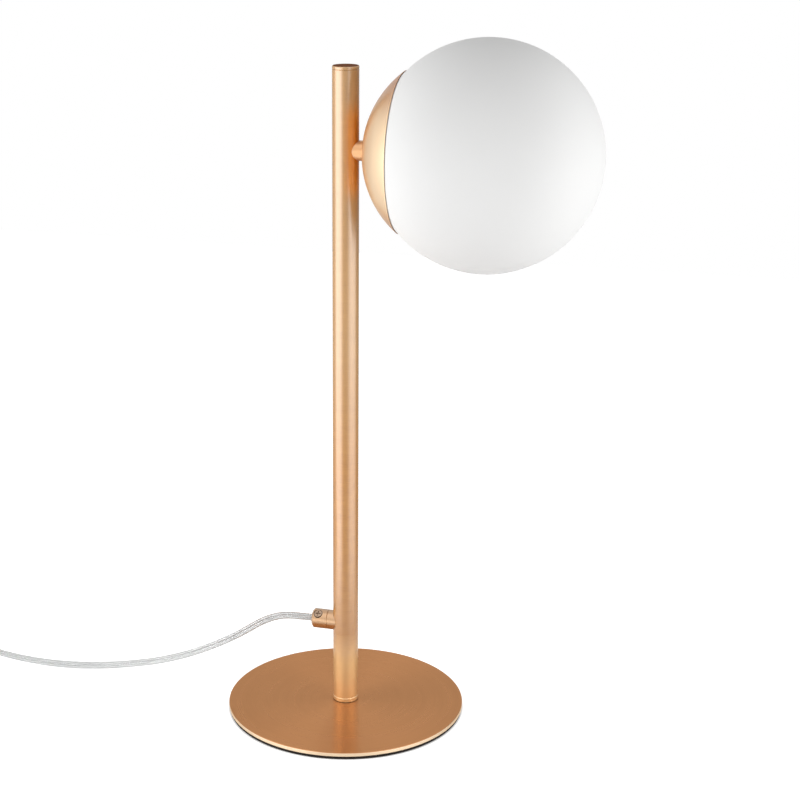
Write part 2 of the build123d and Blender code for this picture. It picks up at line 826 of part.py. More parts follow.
with BuildPart() as switch_screws:
    with BuildSketch(Plane.XY.offset(switch_wall)):
        with Locations(*boss_places):
            Circle(switch_screw_head_d / 2)
    extrude(amount=switch_screw_head_t)
    with BuildSketch(Plane.XY.offset(screw_head_z)):
        with Locations(*boss_places):
            Circle(switch_screw_d / 2)
    extrude(amount=switch_h - 2 * switch_wall - screw_head_z - fit)
save(switch_screws, "switch_screws")

# Put-away coil: one unbroken tube that spirals in, climbs a layer in half a turn and spirals out again
coil_pitch = cord_d + coil_gap
coil_low_z = tie_t + tie_room / 2 + cord_d / 2
coil_lead_x = switch_far - cord_d - coil_lead_bend
coil_x = coil_lead_x + coil_outer_r
coil_y = -coil_lead_bend - coil_lead_run
coil_inner_r = coil_outer_r - coil_pitch * coil_turns_in
coil_turns = coil_turns_in + 0.5 + coil_turns_out
quarter = 0.25


def coil_station(turn):
    # Place and heading after so many turns, counted from the coil's side that faces away from the lamp
    slope = 0.0
    if turn <= coil_turns_in:
        r = coil_outer_r - coil_pitch * turn
        widen = -coil_pitch
        z = coil_low_z
    elif turn <= coil_turns_in + 0.5:
        part = (turn - coil_turns_in) / 0.5
        r = coil_inner_r - 0.5 * coil_pitch * (part - part**2)
        widen = coil_pitch * (2 * part - 1)
        z = coil_low_z + coil_pitch * (3 * part**2 - 2 * part**3)
        slope = coil_pitch * 12 * (part - part**2)
    else:
        r = coil_inner_r + coil_pitch * (turn - coil_turns_in - 0.5)
        widen = coil_pitch
        z = coil_low_z + coil_pitch
    angle = math.pi + 2 * math.pi * turn
    place = Vector(coil_x + r * math.cos(angle), coil_y + r * math.sin(angle), z)
    heading = Vector(
        widen * math.cos(angle) - 2 * math.pi * r * math.sin(angle),
        widen * math.sin(angle) + 2 * math.pi * r * math.cos(angle),
        slope,
    )
    return place, heading.normalized()


def biarc(start, end):
    # Two arcs that leave one station along its heading and reach the next along that one's heading
    p, t = start
    q, s = end
    chord = q - p
    bend = 1 - t.dot(s)
    along = chord.dot(t + s)
    if bend < 1e-9:
        reach = chord.dot(chord) / (4 * chord.dot(s))
    else:
        reach = (math.sqrt(along**2 + 2 * bend * chord.dot(chord)) - along) / (2 * bend)
    middle = (p + q + (t - s) * reach) * 0.5
    TangentArc(p, middle, tangent=t)
    TangentArc(middle, q, tangent=(q - s * reach) - (p + t * reach))


def least_gap(path, steps):
    # Nearest approach of the tube to itself, past the stretch that merely follows on
    step = path.length / steps
    points = [path.position_at(i / steps) for i in range(steps + 1)]
    apart = int(4 * cord_d / step)
    near = min(
        (points[i] - points[j]).length for i in range(len(points)) for j in range(i + apart, len(points))
    )
    return near - cord_d


plug_z = plug_t / 2
coil_end = coil_station(coil_turns)[0]
tail_x = coil_end.X + coil_tail_run
plug_y = coil_end.Y - coil_tail_drift
lead_in = [
    (Vector(switch_far - cord_d, 0, switch_split_z), Vector(-1, 0, 0)),
    (Vector(coil_lead_x, -coil_lead_bend, switch_split_z), Vector(0, -1, 0)),
]
turns = [coil_station(quarter * i) for i in range(round(coil_turns / quarter) + 1)]
tail = [(Vector(tail_x, plug_y, plug_z), Vector(1, 0, 0))]
stations = lead_in + turns + tail
with BuildPart() as cord_coil:
    with BuildLine() as coil_line:
        Line((switch_far + switch_cord_in, 0, switch_split_z), stations[0][0])
        for start, end in zip(stations, stations[1:]):
            biarc(start, end)
        Line(stations[-1][0], stations[-1][0] + Vector(cord_d, 0, 0))
    with BuildSketch(Plane(origin=coil_line.line @ 0, z_dir=coil_line.line % 0)):
        Circle(cord_d / 2)
    sweep(path=coil_line.wire())
save(cord_coil, "cord_coil")
compare_volume("cord_coil", cord_coil, coil_line.wire())
print(f"coil least gap to itself {least_gap(coil_line.wire(), 700):.2f}")

# Tie: strap round all the turns on the coil's side that faces the lamp
bundle_in = coil_inner_r - coil_pitch / 8 - cord_d / 2
bundle_out = coil_outer_r - coil_pitch / 2 + cord_d / 2
tie_sag = tie_w**2 / 8 / bundle_in
tie_inner_len = bundle_out - bundle_in + tie_sag + 2 * tie_room
tie_inner_h = coil_pitch + cord_d + tie_room
tie_mid = (bundle_out + bundle_in - tie_sag) / 2
with BuildPart() as cord_tie:
    with BuildSketch(Plane(origin=(coil_x, coil_y, 0), x_dir=(1, 0, 0), z_dir=(0, -1, 0))):
        with Locations((tie_mid, tie_t + tie_inner_h / 2)):
            RectangleRounded(tie_inner_len + 2 * tie_t, tie_inner_h + 2 * tie_t, tie_corner + tie_t)
            RectangleRounded(tie_inner_len, tie_inner_h, tie_corner, mode=Mode.SUBTRACT)
    extrude(amount=tie_w / 2, both=True)
save(cord_tie, "cord_tie")

# Plug: flat two-pin body that tapers to a ribbed strain relief
relief_x = tail_x + cord_d
neck_x = relief_x + relief_len
plug_face = neck_x + plug_taper + plug_straight


def plug_plane(x):
    return Plane(origin=(x, plug_y, plug_z), x_dir=(0, 1, 0), z_dir=(1, 0, 0))


relief_pitch = relief_len / (relief_rings + 1)
with BuildPart() as plug_body:
    with BuildSketch(plug_plane(neck_x)):
        RectangleRounded(plug_neck_w, plug_neck_t, plug_corner)
    with BuildSketch(plug_plane(neck_x + plug_taper)):
        RectangleRounded(plug_w, plug_t, plug_corner)
    loft()
    with BuildSketch(plug_plane(neck_x + plug_taper)):
        RectangleRounded(plug_w, plug_t, plug_corner)
    extrude(amount=plug_straight)
    with BuildSketch(plug_plane(relief_x)):
        Circle(relief_end_d / 2)
    with BuildSketch(plug_plane(neck_x)):
        Circle(relief_root_d / 2)
    loft()
    for ring in range(relief_rings):
        groove_x = relief_x + relief_pitch * (ring + 1)
        groove_r = relief_end_d / 2 + (relief_root_d - relief_end_d) / 2 * (ring + 1) / (relief_rings + 1)
        with BuildSketch(plug_plane(groove_x)):
            Circle(relief_root_d)
            Circle(groove_r - relief_groove, mode=Mode.SUBTRACT)
        extrude(amount=relief_groove, both=True, mode=Mode.SUBTRACT)
    with BuildSketch(plug_plane(plug_face)):
        with GridLocations(plug_pin_pitch, 0, 2, 1):
            Circle(plug_pin_core_d / 2 + fit / 2)
    extrude(amount=-plug_pin_hold, mode=Mode.SUBTRACT)
save(plug_body, "plug_body")

with BuildPart() as plug_pins:
    with BuildSketch(plug_plane(plug_face - plug_pin_hold)):
        with GridLocations(plug_pin_pitch, 0, 2, 1):
            Circle(plug_pin_core_d / 2)
    extrude(amount=plug_pin_hold + plug_sleeve_len)
    with BuildSketch(plug_plane(plug_face + plug_sleeve_len)):
        with GridLocations(plug_pin_pitch, 0, 2, 1):
            Circle(plug_pin_d / 2)
    extrude(amount=plug_pin_len - plug_sleeve_len)
    fillet(plug_pins.edges().group_by(Axis.X)[-1], plug_pin_d / 4)
save(plug_pins, "plug_pins")

with BuildPart() as plug_sleeves:
    with BuildSketch(plug_plane(plug_face)):
        with GridLocations(plug_pin_pitch, 0, 2, 1):
            Circle(plug_pin_d / 2)
            Circle(plug_pin_core_d / 2 + fit / 2, mode=Mode.SUBTRACT)
    extrude(amount=plug_sleeve_len)
save(plug_sleeves, "plug_sleeves")
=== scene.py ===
import json
import math

import bmesh
import bpy
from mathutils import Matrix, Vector


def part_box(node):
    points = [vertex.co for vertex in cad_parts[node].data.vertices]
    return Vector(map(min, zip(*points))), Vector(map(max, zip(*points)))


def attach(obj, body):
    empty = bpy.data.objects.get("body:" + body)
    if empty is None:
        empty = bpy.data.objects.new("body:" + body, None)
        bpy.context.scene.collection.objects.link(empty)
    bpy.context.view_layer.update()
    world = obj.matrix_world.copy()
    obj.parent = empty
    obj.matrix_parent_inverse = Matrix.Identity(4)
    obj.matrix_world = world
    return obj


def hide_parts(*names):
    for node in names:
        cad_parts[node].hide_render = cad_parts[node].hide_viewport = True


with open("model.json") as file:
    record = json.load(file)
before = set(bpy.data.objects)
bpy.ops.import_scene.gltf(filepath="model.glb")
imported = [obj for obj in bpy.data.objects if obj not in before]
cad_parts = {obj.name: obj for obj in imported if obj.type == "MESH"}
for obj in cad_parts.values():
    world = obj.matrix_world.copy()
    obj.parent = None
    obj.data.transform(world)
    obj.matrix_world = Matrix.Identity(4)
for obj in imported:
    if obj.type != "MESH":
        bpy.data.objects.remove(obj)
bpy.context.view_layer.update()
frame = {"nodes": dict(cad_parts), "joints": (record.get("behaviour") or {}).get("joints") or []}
nodes = frame["nodes"]
joints = {joint["name"]: joint for joint in frame["joints"]}
mm = 0.001
headZ = joints["globe_turn"]["pos_m"][2]
gripLow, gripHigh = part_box("cord_grip")
gripZ = (gripLow.z + gripHigh.z) / 2
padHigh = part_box("base_pad")[1]
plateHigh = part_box("base_plate")[1]
plateEdge, plateTop = plateHigh.x / mm, plateHigh.z / mm
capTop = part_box("stem_cap")[1].z / mm


# node boards

class Link:  # an output socket that takes part in sums
    def __init__(self, board, socket):
        self.board = board
        self.socket = socket

    def sum(self, operation, first, second):
        return self.board.add("ShaderNodeMath", {"operation": operation}, {0: first, 1: second})

    def __add__(self, other):
        return self.sum("ADD", self, other)

    def __radd__(self, other):
        return self.sum("ADD", other, self)

    def __sub__(self, other):
        return self.sum("SUBTRACT", self, other)

    def __rsub__(self, other):
        return self.sum("SUBTRACT", other, self)

    def __mul__(self, other):
        return self.sum("MULTIPLY", self, other)

    def __rmul__(self, other):
        return self.sum("MULTIPLY", other, self)

    def __truediv__(self, other):
        return self.sum("DIVIDE", self, other)

    def __rtruediv__(self, other):
        return self.sum("DIVIDE", other, self)

    def __pow__(self, other):
        return self.sum("POWER", self, other)

    def __rpow__(self, other):
        return self.sum("POWER", other, self)

    def __abs__(self):
        return self.sum("ABSOLUTE", self, 0.0)

    def larger(self, other):
        return self.sum("MAXIMUM", self, other)

    def beside(self, key):  # another output of the same node
        return Link(self.board, self.socket.node.outputs[key])


class Board:  # a node tree and the one way to put a node on it
    def __init__(self, tree):
        self.tree = tree
        tree.nodes.clear()

    def add(self, kind, settings=None, sockets=None, out=0):
        node = self.tree.nodes.new(kind)
        for key, value in (settings or {}).items():
            setattr(node, key, value)
        for key, value in (sockets or {}).items():
            if isinstance(value, Link):
                self.tree.links.new(value.socket, node.inputs[key])
            else:
                node.inputs[key].default_value = value
        return Link(self, node.outputs[out]) if len(node.outputs) else node

    def place(self, kind="Object"):
        return self.add("ShaderNodeTexCoord", {}, {}, kind)

    def split(self, vector):
        first = self.add("ShaderNodeSeparateXYZ", {}, {0: vector})
        return [first.beside(axis) for axis in range(3)]

    def join(self, x, y, z):
        return self.add("ShaderNodeCombineXYZ", {}, {0: x, 1: y, 2: z})

    def mix(self, factor, first, second):
        return self.add("ShaderNodeMix", {"data_type": "RGBA"}, {0: factor, 6: first, 7: second}, 2)

    def vector(self, operation, *values, out=0):
        return self.add("ShaderNodeVectorMath", {"operation": operation}, dict(enumerate(values)), out)

    def noise(self, vector, scale, detail=2.0):
        return self.add("ShaderNodeTexNoise", {}, {"Vector": vector, "Scale": scale, "Detail": detail})

    def remap(self, value, low, high, toLow=0.0, toHigh=1.0, ease="LINEAR"):
        sockets = {0: value, 1: low, 2: high, 3: toLow, 4: toHigh}
        return self.add("ShaderNodeMapRange", {"interpolation_type": ease}, sockets)

    def bump(self, height, strength, distance):
        sockets = {"Height": height, "Strength": strength, "Distance": distance}
        return self.add("ShaderNodeBump", {}, sockets)


def shade(*rgb):
    return (*rgb, 1.0)


def startMaterial(name):
    material = bpy.data.materials.new(name)
    material.use_nodes = True
    return material, Board(material.node_tree)


def endMaterial(board, sockets):
    surface = board.add("ShaderNodeBsdfPrincipled", {}, sockets)
    board.add("ShaderNodeOutputMaterial", {}, {"Surface": surface})


def linked(name, data):
    thing = bpy.data.objects.new(name, data)
    bpy.context.scene.collection.objects.link(thing)
    return thing


white = shade(1, 1, 1)


# camera, fitted to the stem's edges, the base's ellipse and the globe

cameraSet = {
    "place": (0.3072, -1.0712, 0.5616),
    "turn": 16.0,
    "down": 17.4,
    "lens": 83.02,
    "shift": 0.0678,
}


def makeCamera(look):
    camera = linked("camera", bpy.data.cameras.new("camera"))
    camera.location = look["place"]
    camera.rotation_euler = (math.radians(90 - look["down"]), 0, math.radians(look["turn"]))
    camera.data.lens = look["lens"]
    camera.data.shift_x = look["shift"]
    bpy.context.scene.camera = camera
    bpy.context.scene.view_settings.view_transform = "Standard"


makeCamera(cameraSet)
print("camera set")


# studio: white table, white all round, a broad soft light on either side

studioSet = {
    "tableLow": (-0.9, -0.7),
    "tableHigh": (0.9, 1.3),
    "tableTone": 0.85,
    "tableGlow": 0.75,  # where it is seen
    "tableLift": 0.15,  # towards the lamp
    "tableMirrored": 0.5,  # share of the glow that metal sees
    "tableClear": (0.1, 0.3),  # from here out metal sees past the table
    "padEdge": padHigh.x,
    # the width of a painted contact shadow: the glow fades out in a ring round the pad
    "paintedShadowWidth": 0.002,
    "skyFront": 0.175,
    "skyBack": 0.52,
    "skySpan": 0.8,
    "skyTop": 0.44,
    "zenith": (0.3, 0.9),
    "mirrorFront": 0.75,  # the room as metal sees it
    "mirrorBack": 0.64,
    "mirrorSpan": 0.6,
    "mirrorTop": 1.7,
    "topRise": (0.3, 0.62),
    "glowCore": 0.98,
    "glowFoot": (-0.4, -0.15),
    "glowFootGain": (0.7, 1.15),
    "glowHead": (0.05, 0.3),
    "glowHigh": 0.2,
    "glows": [
        {"way": (-0.766, -0.643), "gain": 3.4, "starts": 0.72},
        {"way": (0.978, -0.208), "gain": 2.5, "starts": 0.66},
        {"way": (0.9, 0.44), "gain": -0.4, "starts": 0.66},  # a dark flag behind the right box
    ],
    "boxAim": (0, 0, 0.25),
    "boxSize": (0.7, 1.2),
    "boxes": [
        {"name": "left_box", "place": (-1.03, -0.75, 0.41), "power": 15.3},
        {"name": "right_box", "place": (1.23, -0.40, 0.41), "power": 11.4},
    ],
}


def lightPath(board):
    path = board.add("ShaderNodeLightPath")
    return [path.beside(name) for name in ("Is Camera Ray", "Is Transmission Ray", "Is Glossy Ray")]


def makeWorld(look):
    world = bpy.data.worlds.new("studio")
    bpy.context.scene.world = world
    world.use_nodes = True
    board = Board(world.node_tree)
    seen, through, mirrored = lightPath(board)
    x, y, z = board.split(board.place("Generated"))
    backdrop = seen.larger(through)
    span = look["mirrorSpan"]
    mirror = board.remap(y, -span, span, look["mirrorFront"], look["mirrorBack"])
    mirror = mirror * board.remap(z, *look["topRise"], 1.0, look["mirrorTop"], "SMOOTHSTEP")
    flat = (x * x + y * y) ** 0.5
    low = board.remap(z, *look["glowFoot"], *look["glowFootGain"])
    high = board.remap(z, *look["glowHead"], 1.0, look["glowHigh"], "SMOOTHSTEP")
    for glow in look["glows"]:
        facing = (x * glow["way"][0] + y * glow["way"][1]) / flat
        lobe = board.remap(facing, glow["starts"], look["glowCore"], 0.0, glow["gain"], "SMOOTHSTEP")
        mirror = mirror + lobe * low * high
    span = look["skySpan"]
    sky = board.remap(y, -span, span, look["skyFront"], look["skyBack"])
    top = board.remap(z, *look["zenith"])
    sky = sky * (1 - top) + top * look["skyTop"]
    level = backdrop + (1 - backdrop) * (mirrored * mirror + (1 - mirrored) * sky)
    back = board.add("ShaderNodeBackground", {}, {"Color": white, "Strength": level})
    board.add("ShaderNodeOutputWorld", {}, {"Surface": back})


def makeTable(look):
    mesh = bpy.data.meshes.new("table")
    (left, front), (right, rear) = look["tableLow"], look["tableHigh"]
    corners = [(left, front, 0), (right, front, 0), (right, rear, 0), (left, rear, 0)]
    mesh.from_pydata(corners, [], [(0, 1, 2, 3)])
    table = linked("table", mesh)
    material, board = startMaterial("table_white")
    seen, through, mirrored = lightPath(board)
    x, y = board.split(board.place())[:2]
    out = (x * x + y * y) ** 0.5
    far = board.remap(out, *look["tableClear"], ease="SMOOTHSTEP")
    # painted shadow: the glow fades out in a ring round the pad, so the ring shows darker
    near = board.remap(out, look["padEdge"], look["padEdge"] + look["paintedShadowWidth"])
    shown = seen.larger(through.larger(mirrored * look["tableMirrored"]))
    light = shown * near * look["tableGlow"] + (1 - shown) * look["tableLift"]
    paint = board.add("ShaderNodeBsdfDiffuse", {}, {"Color": shade(*[look["tableTone"]] * 3)})
    glow = board.add("ShaderNodeEmission", {}, {"Color": white, "Strength": light})
    both = board.add("ShaderNodeAddShader", {}, {0: paint, 1: glow})
    clear = board.add("ShaderNodeBsdfTransparent")
    surface = board.add("ShaderNodeMixShader", {}, {0: mirrored * far, 1: both, 2: clear})
    board.add("ShaderNodeOutputMaterial", {}, {"Surface": surface})
    mesh.materials.append(material)


def makeSoftBox(box, look):
    lamp = bpy.data.lights.new(box["name"], "AREA")
    lamp.shape = "RECTANGLE"
    lamp.size, lamp.size_y = look["boxSize"]
    lamp.energy = box["power"]
    light = linked(box["name"], lamp)
    light.location = box["place"]
    aim = Vector(look["boxAim"]) - Vector(box["place"])
    light.rotation_euler = aim.to_track_quat("-Z", "Y").to_euler()
    light.visible_glossy = False  # metal sees the world's glows instead


makeWorld(studioSet)
makeTable(studioSet)
for softBox in studioSet["boxes"]:
    makeSoftBox(softBox, studioSet)
print("studio set")


# where the cord grip's clamp screw sits and the way its head faces

clampSet = {"along": -17.8, "tilt": 52.0, "headOut": 6.3}
clampTilt = math.radians(clampSet["tilt"])
clampWay = (0, -math.cos(clampTilt), math.sin(clampTilt))
clampAt = (clampSet["along"] * mm, 0, gripZ)
clampTop = [place / mm + out * clampSet["headOut"] for place, out in zip(clampAt, clampWay)]


# metal finishes: fine rings round the piece's own axis, with painted light, shade and reflections
# bands are in mm along that axis or outward from it, a painted reflection in mm up or down from the arm

plated = {"metal": 0.75, "along": 0.0}
bareMetal = {"metal": 1.0, "along": 0.0, "coat": 0.0}
stemGold = {
    **plated, "tint": (0.48, 0.222, 0.039), "worn": (0.448, 0.205, 0.035), "rough": 0.7, "coat": 1.0,
    "edge": (0.7, 0.4, 0.2),
    "bands": [
        # painted highlight: paler from 165 mm upwards, for brighter highlights higher up
        {"starts": 165, "ends": 245, "tint": (0.478, 0.268, 0.09)},
        # painted light: paler towards the foot, standing in for light the plate throws back
        {"starts": 54, "ends": 15, "tint": (0.92, 0.66, 0.34), "rough": 0.36},
        # painted shade: the cap's top face dark, standing in for the dark ceiling it mirrors
        {
            "starts": capTop - 0.1, "ends": capTop - 0.03,
            "tint": (0.1, 0.034, 0.008), "rough": 0.5, "coat": 0.0,
        },
        # painted shadow: a dark line where the foot meets the plate
        {
            "starts": plateTop + 0.6, "ends": plateTop + 0.4,
            "tint": (0.13, 0.055, 0.015), "rough": 0.5, "coat": 0.0,
        },
    ],
    # painted reflection: the cup's orange mirror image on the stem's side towards the head
    "paintedReflection": {"starts": 34.0, "ends": 18.0, "tint": (0.66, 0.26, 0.012), "side": 0.5},
}
baseGold = {
    **plated, "tint": (0.53, 0.242, 0.1), "worn": (0.5, 0.228, 0.094), "rough": 0.3, "coat": 0.0,
    "along": 0.95, "edge": (1.0, 0.8, 0.6),
    "bands": [
        # painted highlight: a cream line round the plate's edge
        {
            "outward": True, "starts": plateEdge - 0.2, "ends": plateEdge - 0.1,
            "tint": (0.84, 0.65, 0.45), "rough": 0.3,
        },
    ],
}
headGold = {
    **plated, "tint": (0.64, 0.36, 0.15), "worn": (0.6, 0.335, 0.14), "rough": 0.44, "coat": 0.6,
    "bands": [
        {"starts": 15.5, "ends": 15.0, "tint": (0.58, 0.31, 0.135), "rough": 0.4, "coat": 0.5},
        # painted highlight: the cup paler from 15 mm out towards its rim
        {"starts": 15.0, "ends": 28.0, "tint": (0.84, 0.62, 0.39), "rough": 0.48},
    ],
    # painted shade: the cup darker towards its top and bottom
    "paintedReflection": {"starts": 20.0, "ends": 52.0, "tint": (0.46, 0.19, 0.07)},
}
gripGold = {
    **plated, "tint": (0.46, 0.245, 0.095), "worn": (0.43, 0.225, 0.085), "rough": 0.3, "coat": 0.8,
    # painted shade in the recess round the clamp screw
    "recessShade": {"width": 6.1, "edge": 0.1, "depth": (1.0, 1.5), "tint": (0.10, 0.042, 0.014)},
}
screwGold = {**bareMetal, "tint": (0.33, 0.235, 0.17), "worn": (0.26, 0.18, 0.125), "rough": 0.3}
zincPlate = {**bareMetal, "tint": (0.58, 0.58, 0.57), "worn": (0.46, 0.46, 0.46), "rough": 0.36}
turnedAlu = {**bareMetal, "tint": (0.80, 0.80, 0.79), "worn": (0.70, 0.70, 0.70), "rough": 0.32}
stripBrass = {**bareMetal, "tint": (0.72, 0.55, 0.27), "worn": (0.60, 0.43, 0.20), "rough": 0.35}
nickelPlate = {**bareMetal, "tint": (0.74, 0.72, 0.68), "worn": (0.66, 0.64, 0.60), "rough": 0.2}
ringSet = {
    "fine": {"turn": 1.6, "pitch": 3.2, "detail": 3.0},
    "broad": {"turn": 0.8, "pitch": 0.22, "detail": 2.0},
    "cloud": 38.0,
    "wornShares": (0.5, 0.3, 0.2),
    "wornSpan": (0.36, 0.64),
    "roughShares": (0.6, 0.4),
    "smoother": 0.05,
    "rougher": 0.07,
    "lay": 0.25,
    "coatRough": 0.24,
    "coatIor": 2.0,
    "bump": 0.12,
    "bumpDepth": 0.04 * mm,
}
noiseSpan = (0.3, 0.7)  # where most of a noise lies
uprightAxis = (0, 0, 0)
armAxis = (0, math.pi / 2, 0)


def ringNoise(board, x, y, radius, run, look):
    around = [side / radius * look["turn"] for side in (x, y)]
    return board.noise(board.join(*around, run * look["pitch"]), 1.0, look["detail"])


def recessShadeTint(board, place, tint, recessShade):  # painted shade, darker in the recess round the clamp screw
    arm = board.vector("SUBTRACT", place, clampAt)
    apart = board.vector("LENGTH", board.vector("CROSS_PRODUCT", arm, clampWay), out="Value")
    outward = board.vector("DOT_PRODUCT", arm, clampWay, out="Value")
    inside = board.remap(apart / mm, recessShade["width"] / 2, recessShade["width"] / 2 - recessShade["edge"])
    return board.mix(inside * board.remap(outward / mm, *recessShade["depth"]), tint, shade(*recessShade["tint"]))


def paintedReflectionTint(board, place, facing, tint, paintedReflection):  # painted reflection and shade: a tint by height from the arm
    apart = abs((board.split(place)[2] - headZ) / mm)
    share = board.remap(apart, paintedReflection["starts"], paintedReflection["ends"], ease="SMOOTHSTEP")
    if "side" in paintedReflection:
        share = share * board.remap(facing, 0.0, paintedReflection["side"])
    return board.mix(share, tint, shade(*paintedReflection["tint"]))


def ringedMetal(name, look, centre=(0, 0, 0), axis=uprightAxis):
    material, board = startMaterial(name)
    place = board.place()
    turned = {"Vector": place, "Location": centre, "Rotation": axis}
    x, y, z = board.split(board.add("ShaderNodeMapping", {"vector_type": "TEXTURE"}, turned))
    radius = (x * x + y * y) ** 0.5
    run = (z + radius) / mm
    fine = ringNoise(board, x, y, radius, run, ringSet["fine"])
    broad = ringNoise(board, x, y, radius, run, ringSet["broad"])
    cloud = board.noise(place, ringSet["cloud"])
    ofFine, ofBroad, ofCloud = ringSet["wornShares"]
    worn = board.remap(fine * ofFine + broad * ofBroad + cloud * ofCloud, *ringSet["wornSpan"])
    tint = board.mix(worn, shade(*look["tint"]), shade(*look["worn"]))
    ofFine, ofBroad = ringSet["roughShares"]
    roughSpan = (look["rough"] - ringSet["smoother"], look["rough"] + ringSet["rougher"])
    rough = board.remap(fine * ofFine + broad * ofBroad, *noiseSpan, *roughSpan)
    coat = look["coat"]
    if "recessShade" in look:
        tint = recessShadeTint(board, place, tint, look["recessShade"])
    for band in look.get("bands", []):
        reach = radius if "outward" in band else z
        share = board.remap(reach / mm, band["starts"], band["ends"])
        tint = board.mix(share, tint, shade(*band["tint"]))
        if "coat" in band:
            coat = coat * (1 - share * (1 - band["coat"]))
        if "rough" in band:
            rough = rough * (1 - share) + share * band["rough"]
    if "paintedReflection" in look:
        tint = paintedReflectionTint(board, place, x / radius, tint, look["paintedReflection"])
    endMaterial(board, {
        "Base Color": tint,
        "Metallic": look["metal"],
        "Roughness": rough,
        "Anisotropic": look["along"],
        "Anisotropic Rotation": ringSet["lay"],
        "Specular Tint": shade(*look.get("edge", (1, 1, 1))),
        "Coat Weight": coat,
        "Coat Roughness": ringSet["coatRough"],
        "Coat IOR": ringSet["coatIor"],
        "Normal": board.bump(fine, ringSet["bump"], ringSet["bumpDepth"]),
    })
    return material


gripCentre = (0, 0, gripZ)
headCentre = (0, 0, headZ)
metals = {
    "stem": ringedMetal("rose_gold_stem", stemGold),
    "base": ringedMetal("rose_gold_base", baseGold),
    "head": ringedMetal("rose_gold_head", headGold, headCentre, armAxis),
    "grip": ringedMetal("rose_gold_grip", gripGold, gripCentre, armAxis),
    "screw": ringedMetal("rose_gold_screw", screwGold, gripCentre, armAxis),
    "zinc": ringedMetal("zinc_plate", zincPlate, headCentre, armAxis),
    "alu": ringedMetal("turned_aluminium", turnedAlu, headCentre, armAxis),
    "brass": ringedMetal("strip_brass", stripBrass),
    "nickel": ringedMetal("nickel_plate", nickelPlate),
}
print("metals made")


# glass, ceramic and plastics

opalSet = {
    "dense": (0.80, 0.80, 0.795),
    "thin": (0.835, 0.835, 0.83),
    "etch": 2600.0,
    "etchShare": 0.6,
    "flow": 14.0,
    "rough": (0.56, 0.64),
    "gloss": 0.3,
    "bump": 0.03,
    "bumpDepth": 0.03 * mm,
}
plasticSet = {  # what a plastic has unless it says otherwise
    "grain": 1400.0,
    "depth": 0.08,
    "gloss": 0.5,
    "drift": 45.0,
    "driftShare": 0.6,
    "darker": 0.9,
    "smoother": 0.05,
    "rougher": 0.06,
    "bumpDepth": 0.05 * mm,
}
plastics = {
    "frost": {
        "name": "frosted_glass", "tint": (0.88, 0.88, 0.86), "rough": 0.3,
        "grain": 2400.0, "depth": 0.03,
    },
    "ceramic": {"name": "steatite", "tint": (0.80, 0.78, 0.73), "rough": 0.55, "grain": 700.0, "depth": 0.12},
    "bulb": {"name": "bulb_base", "tint": (0.80, 0.80, 0.78), "rough": 0.4},
    "white": {"name": "white_moulding", "tint": (0.70, 0.70, 0.69), "rough": 0.42},
    "sleeve": {"name": "black_sleeve", "tint": (0.03, 0.03, 0.03), "rough": 0.4},
    "foam": {
        "name": "pad_foam", "tint": (0.026, 0.021, 0.018), "rough": 0.85,
        "grain": 900.0, "depth": 0.5, "gloss": 0.1,
    },
    "silicone": {"name": "silicone", "tint": (0.74, 0.74, 0.72), "rough": 0.5},
    "strap": {"name": "strap_weave", "tint": (0.72, 0.72, 0.71), "rough": 0.7, "grain": 1100.0, "depth": 0.4},
}
sheathSet = {
    "cloudy": (0.90, 0.915, 0.92),
    "clear": (0.96, 0.97, 0.97),
    "haze": 120.0,
    "rough": (0.1, 0.2),
    "ior": 1.42,
    "through": 0.82,
}
strandSet = {
    "dark": (0.42, 0.42, 0.42),
    "light": (0.70, 0.70, 0.69),
    "slant": 0.6,
    "lay": 3.0,
    "metal": 0.5,
    "rough": (0.32, 0.45),
    "bump": 0.3,
    "bumpDepth": 0.1 * mm,
}


def opalGlass(name, look):
    material, board = startMaterial(name)
    place = board.place()
    etch = board.noise(place, look["etch"])
    flow = board.noise(place, look["flow"])
    frosting = etch * look["etchShare"] + flow * (1 - look["etchShare"])
    endMaterial(board, {
        "Base Color": board.mix(flow, shade(*look["dense"]), shade(*look["thin"])),
        "Roughness": board.remap(frosting, *noiseSpan, *look["rough"]),
        "Specular IOR Level": look["gloss"],
        "Normal": board.bump(etch, look["bump"], look["bumpDepth"]),
    })
    return material


def grainedPlastic(look):
    material, board = startMaterial(look["name"])
    place = board.place()
    spark = board.noise(place, look["grain"])
    drift = board.noise(place, look["drift"])
    shift = drift * look["driftShare"] + spark * (1 - look["driftShare"])
    darker = [channel * look["darker"] for channel in look["tint"]]
    roughSpan = (look["rough"] - look["smoother"], look["rough"] + look["rougher"])
    endMaterial(board, {
        "Base Color": board.mix(shift, shade(*darker), shade(*look["tint"])),
        "Roughness": board.remap(spark, *noiseSpan, *roughSpan),
        "Specular IOR Level": look["gloss"],
        "Normal": board.bump(spark, look["depth"], look["bumpDepth"]),
    })
    return material


def clearSheath(name, look):
    material, board = startMaterial(name)
    haze = board.noise(board.place(), look["haze"])
    endMaterial(board, {
        "Base Color": board.mix(haze, shade(*look["cloudy"]), shade(*look["clear"])),
        "Roughness": board.remap(haze, *noiseSpan, *look["rough"]),
        "IOR": look["ior"],
        "Transmission Weight": look["through"],
    })
    return material


